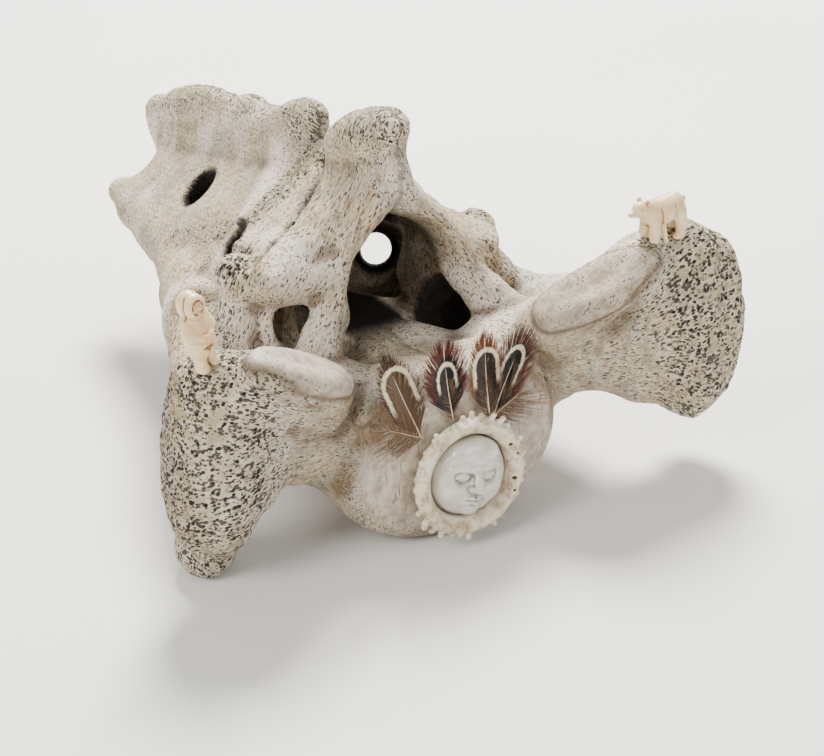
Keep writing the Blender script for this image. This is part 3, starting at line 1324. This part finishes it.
def grown(tree, name, **values):
    """Evaluates the tree with the given inputs and returns its plain mesh."""
    holder = bpy.data.objects.new(name, bpy.data.meshes.new(name))
    bpy.context.scene.collection.objects.link(holder)
    modifier = holder.modifiers.new("grow", "NODES")
    modifier.node_group = tree
    for item in tree.interface.items_tree:
        if item.in_out == "INPUT":
            modifier[item.identifier] = values[item.name.replace(" ", "_").lower()]
    holder.update_tag()
    bpy.context.view_layer.update()
    evaluated = holder.evaluated_get(bpy.context.evaluated_depsgraph_get())
    mesh = bpy.data.meshes.new_from_object(evaluated)
    bpy.data.objects.remove(holder)
    return mesh


def joined(*turned_meshes):
    """Points, triangles, materials and material numbers of meshes turned about Z and put together."""
    points, triangles, materials, numbers = [], [], [], []
    count = 0
    for mesh, turn in turned_meshes:
        mesh.calc_loop_triangles()
        place = np.empty(3 * len(mesh.vertices))
        mesh.vertices.foreach_get("co", place)
        corners = np.empty(3 * len(mesh.loop_triangles), dtype=np.int32)
        mesh.loop_triangles.foreach_get("vertices", corners)
        used = np.empty(len(mesh.loop_triangles), dtype=np.int32)
        mesh.loop_triangles.foreach_get("material_index", used)
        points.append(placed_by(axis_turn(turn, "Z"), place.reshape(-1, 3)))
        triangles.append(corners.reshape(-1, 3) + count)
        numbers.append(used + len(materials))
        materials += list(mesh.materials)
        count += len(mesh.vertices)
    return np.concatenate(points), np.concatenate(triangles), materials, np.concatenate(numbers)


def vane_material(name, middle, edge, tip, line_width, line_reach, dark_reach):
    """A barred vane: a pale arched line round its middle, and warmer barbs outside the line."""
    r = Recipe(name)
    uv = r.node("ShaderNodeUVMap", {}, uv_map="OFBake")
    place = r.parts(uv)
    across = r.times(r.minus(place[0], 0.5), 2.2)
    ripple = r.times(r.minus(r.noise(uv, 14.0, 3.0), 0.5), 0.22)
    beyond = r.math("MAXIMUM", r.minus(place[1], line_reach - 0.2), 0.0)
    far = r.math("DIVIDE", beyond, 0.2)
    wide = r.math("DIVIDE", across, line_width)
    squares = r.plus(r.times(far, far), r.times(wide, wide))
    ring = r.plus(r.math("SQRT", squares), ripple)
    inside = r.ramp(ring, dark_reach - 0.12, dark_reach + 0.12, 1.0, 0.0)
    off_line = r.math("ABSOLUTE", r.minus(ring, 1.0))
    on_line = r.times(r.ramp(off_line, 0.09, 0.2, 1.0, 0.0), r.ramp(place[1], 0.34, 0.46))
    barbs = r.noise(r.stretched(uv, (2.0, 60.0, 1.0)), 2.4, 2.0)
    outer = r.mix(r.ramp(barbs, 0.35, 0.62), edge, tip)
    tone = r.mix(inside, outer, middle)
    tone = r.mix(r.ramp(barbs, 0.6, 0.75, 0.0, 0.22), tone, rgb(150, 104, 70))
    tone = r.mix(on_line, tone, rgb(232, 218, 188))
    gloss = r.ramp(barbs, 0.3, 0.7, 0.45, 0.62)
    return r.surface(Base_Color=tone, Roughness=gloss, Specular_IOR_Level=0.4)


def plain_feather_material(name, root, tip):
    r = Recipe(name)
    uv = r.node("ShaderNodeUVMap", {}, uv_map="OFBake")
    fine = r.noise(uv, 60.0, 2.0)
    tone = r.mix(r.ramp(r.parts(uv)[1], 0.05, 0.75), root, tip)
    tone = r.mix(r.ramp(fine, 0.4, 0.65, 0.0, 0.5), tone, rgb(120, 82, 56))
    gloss = r.ramp(fine, 0.3, 0.7, 0.6, 0.8)
    return r.surface(Base_Color=tone, Roughness=gloss, Specular_IOR_Level=0.25)


# Root and tip in the disc's plane (x, z), half width, bend, layer, vane, and the down's reach and turn.
FEATHERS = {
    "feather_left": ((-21.5, 13), (-37.5, 54), 9.5, 4.0, 0.3, "brown", 19.0, 40),
    "feather_middle": ((-7, 17.5), (-12, 53), 11.0, 3.5, 0.8, "black", 7.0, 0),
    "feather_inner_right": ((10, 14), (7, 52), 9.0, 4.0, 1.1, "umber", 7.0, 6),
    "feather_outer_right": ((12.5, 12), (28, 46), 11.5, 2.5, 0.2, "outer", 20.0, -38),
}
BLADE = {
    "barbs": 170, "barb_width": 0.5, "sweep": 0.74, "curl": 1.8, "looseness": 0.07, "start": 0.1,
    "shaft": 0.34,
}
DOWN = {
    "barbs": 90, "barb_width": 0.2, "sweep": 0.4, "curl": 3.0, "looseness": 0.22, "start": 0.0, "bend": 0.6,
    "shaft": 0.2,
}
DOWN_SEED = 40
FAN_FRONT = -7.7
FAN_LAYER = 2.1


def build_feathers():
    quill = plain_feather_material("quill", rgb(206, 190, 158), rgb(228, 216, 190))
    down = plain_feather_material("tan_down", rgb(96, 76, 58), rgb(138, 112, 86))
    black, brown, umber = rgb(16, 9, 8), rgb(88, 66, 46), rgb(44, 27, 18)
    red, rust = rgb(98, 34, 20), rgb(60, 22, 14)
    vanes = {
        "brown": vane_material("brown_vane", brown, rgb(24, 15, 12), rgb(84, 50, 30), 0.62, 0.86, 1.0),
        "black": vane_material("black_vane", black, red, rust, 0.37, 0.74, 1.5),
        "umber": vane_material("umber_vane", umber, rgb(92, 50, 28), rgb(132, 84, 50), 0.6, 0.82, 1.05),
        "outer": vane_material("outer_vane", black, red, umber, 0.36, 0.84, 1.3),
    }
    tree = feather_tree()
    for number, (node, shape) in enumerate(FEATHERS.items()):
        root, tip, half, bend, layer, vane, fluff, fluff_turn = shape
        length = math.dist(root, tip)
        blade = grown(
            tree, node, length=length - half * 0.95, half_width=half * 1.7, bend=bend * 0.7, seed=number,
            vane=vanes[vane], quill=quill, **BLADE,
        )
        tuft = grown(
            tree, node + "_down", length=length * 0.4, half_width=fluff, seed=number + DOWN_SEED, vane=down,
            quill=quill, **DOWN,
        )
        points, triangles, materials, numbers = joined((blade, 0), (tuft, fluff_turn))
        uv = np.stack([points[:, 0] / (2.2 * half) + 0.5, points[:, 1] / length], 1)
        turn = math.degrees(math.atan2(tip[1] - root[1], tip[0] - root[0])) - 90
        at = Matrix.Translation((root[0], FAN_FRONT - FAN_LAYER * layer, root[1]))
        place = at @ axis_turn(90, "X") @ axis_turn(turn, "Z")
        laid = lay_down(placed_by(place, points))
        piece = mesh_piece(node + "_barbs", laid, triangles, materials[0], node)
        for material in materials[1:]:
            piece.data.materials.append(material)
        piece.data.polygons.foreach_set("material_index", numbers)
        layer_data = piece.data.uv_layers.new(name="OFBake").data
        layer_data.foreach_set("uv", np.clip(uv, 0.001, 0.999)[triangles.ravel()].astype(np.float32).ravel())


build_burr()
build_face()
build_figures()
build_feathers()


# ------------------------------------------------------------------ floor, light and camera
def build_floor():
    r = Recipe("pale_paper")
    place = r.object_place()
    tone = r.mix(r.ramp(r.noise(place, 2.2, 2.0), 0.35, 0.65), rgb(232, 230, 225), rgb(226, 224, 220))
    r.surface(Base_Color=tone, Roughness=0.9, Specular_IOR_Level=0.2)
    mesh = bpy.data.meshes.new("floor")
    reach = 4.0
    corners = [(-reach, -reach, 0), (reach, -reach, 0), (reach, reach, 0), (-reach, reach, 0)]
    mesh.from_pydata(corners, [], [(0, 1, 2, 3)])
    mesh.materials.append(r.material)
    floor = bpy.data.objects.new("floor", mesh)
    bpy.context.scene.collection.objects.link(floor)


# Where each lamp stands, its width in metres, its power in watts and its colour.
LAMPS = {
    "overhead_softbox": ((0.55, 0.75, 1.5), 0.7, 118.0, (1.0, 0.985, 0.96)),
    "left_softbox": ((-1.5, -0.5, 1.1), 0.8, 30.0, (1.0, 0.99, 0.97)),
    "front_fill": ((0.6, -1.6, 0.9), 1.2, 9.0, (0.98, 0.99, 1.0)),
}
LAMP_TARGET = (0.0, 0.0, 0.08)


def build_lights():
    for name, (at, size, power, colour) in LAMPS.items():
        light = bpy.data.lights.new(name, "AREA")
        light.shape = "DISK"
        light.size = size
        light.energy = power
        light.color = colour
        lamp = bpy.data.objects.new(name, light)
        lamp.location = at
        lamp.rotation_euler = (Vector(LAMP_TARGET) - Vector(at)).to_track_quat("-Z", "Y").to_euler()
        bpy.context.scene.collection.objects.link(lamp)
    world = bpy.data.worlds.new("studio")
    world.use_nodes = True
    background = world.node_tree.nodes["Background"]
    background.inputs["Color"].default_value = (0.95, 0.96, 1.0, 1.0)
    background.inputs["Strength"].default_value = 0.6
    bpy.context.scene.world = world


CAMERA_AT = (-0.39472, -0.73942, 0.44394)
CAMERA_AZIMUTH = math.radians(-30.9)
CAMERA_RISE = math.radians(27.4)
CAMERA_LENS = 87.38


def build_camera():
    back = Vector((
        math.sin(CAMERA_AZIMUTH) * math.cos(CAMERA_RISE),
        -math.cos(CAMERA_AZIMUTH) * math.cos(CAMERA_RISE),
        math.sin(CAMERA_RISE),
    ))
    right = Vector((math.cos(CAMERA_AZIMUTH), math.sin(CAMERA_AZIMUTH), 0))
    up = back.cross(right)
    data = bpy.data.cameras.new("camera")
    data.sensor_width = 36.0
    data.lens = CAMERA_LENS
    data.clip_end = 20.0
    camera = bpy.data.objects.new("camera", data)
    camera.matrix_world = Matrix.Translation(CAMERA_AT) @ Matrix((right, up, back)).transposed().to_4x4()
    bpy.context.scene.collection.objects.link(camera)
    bpy.context.scene.camera = camera


build_floor()
build_lights()
build_camera()
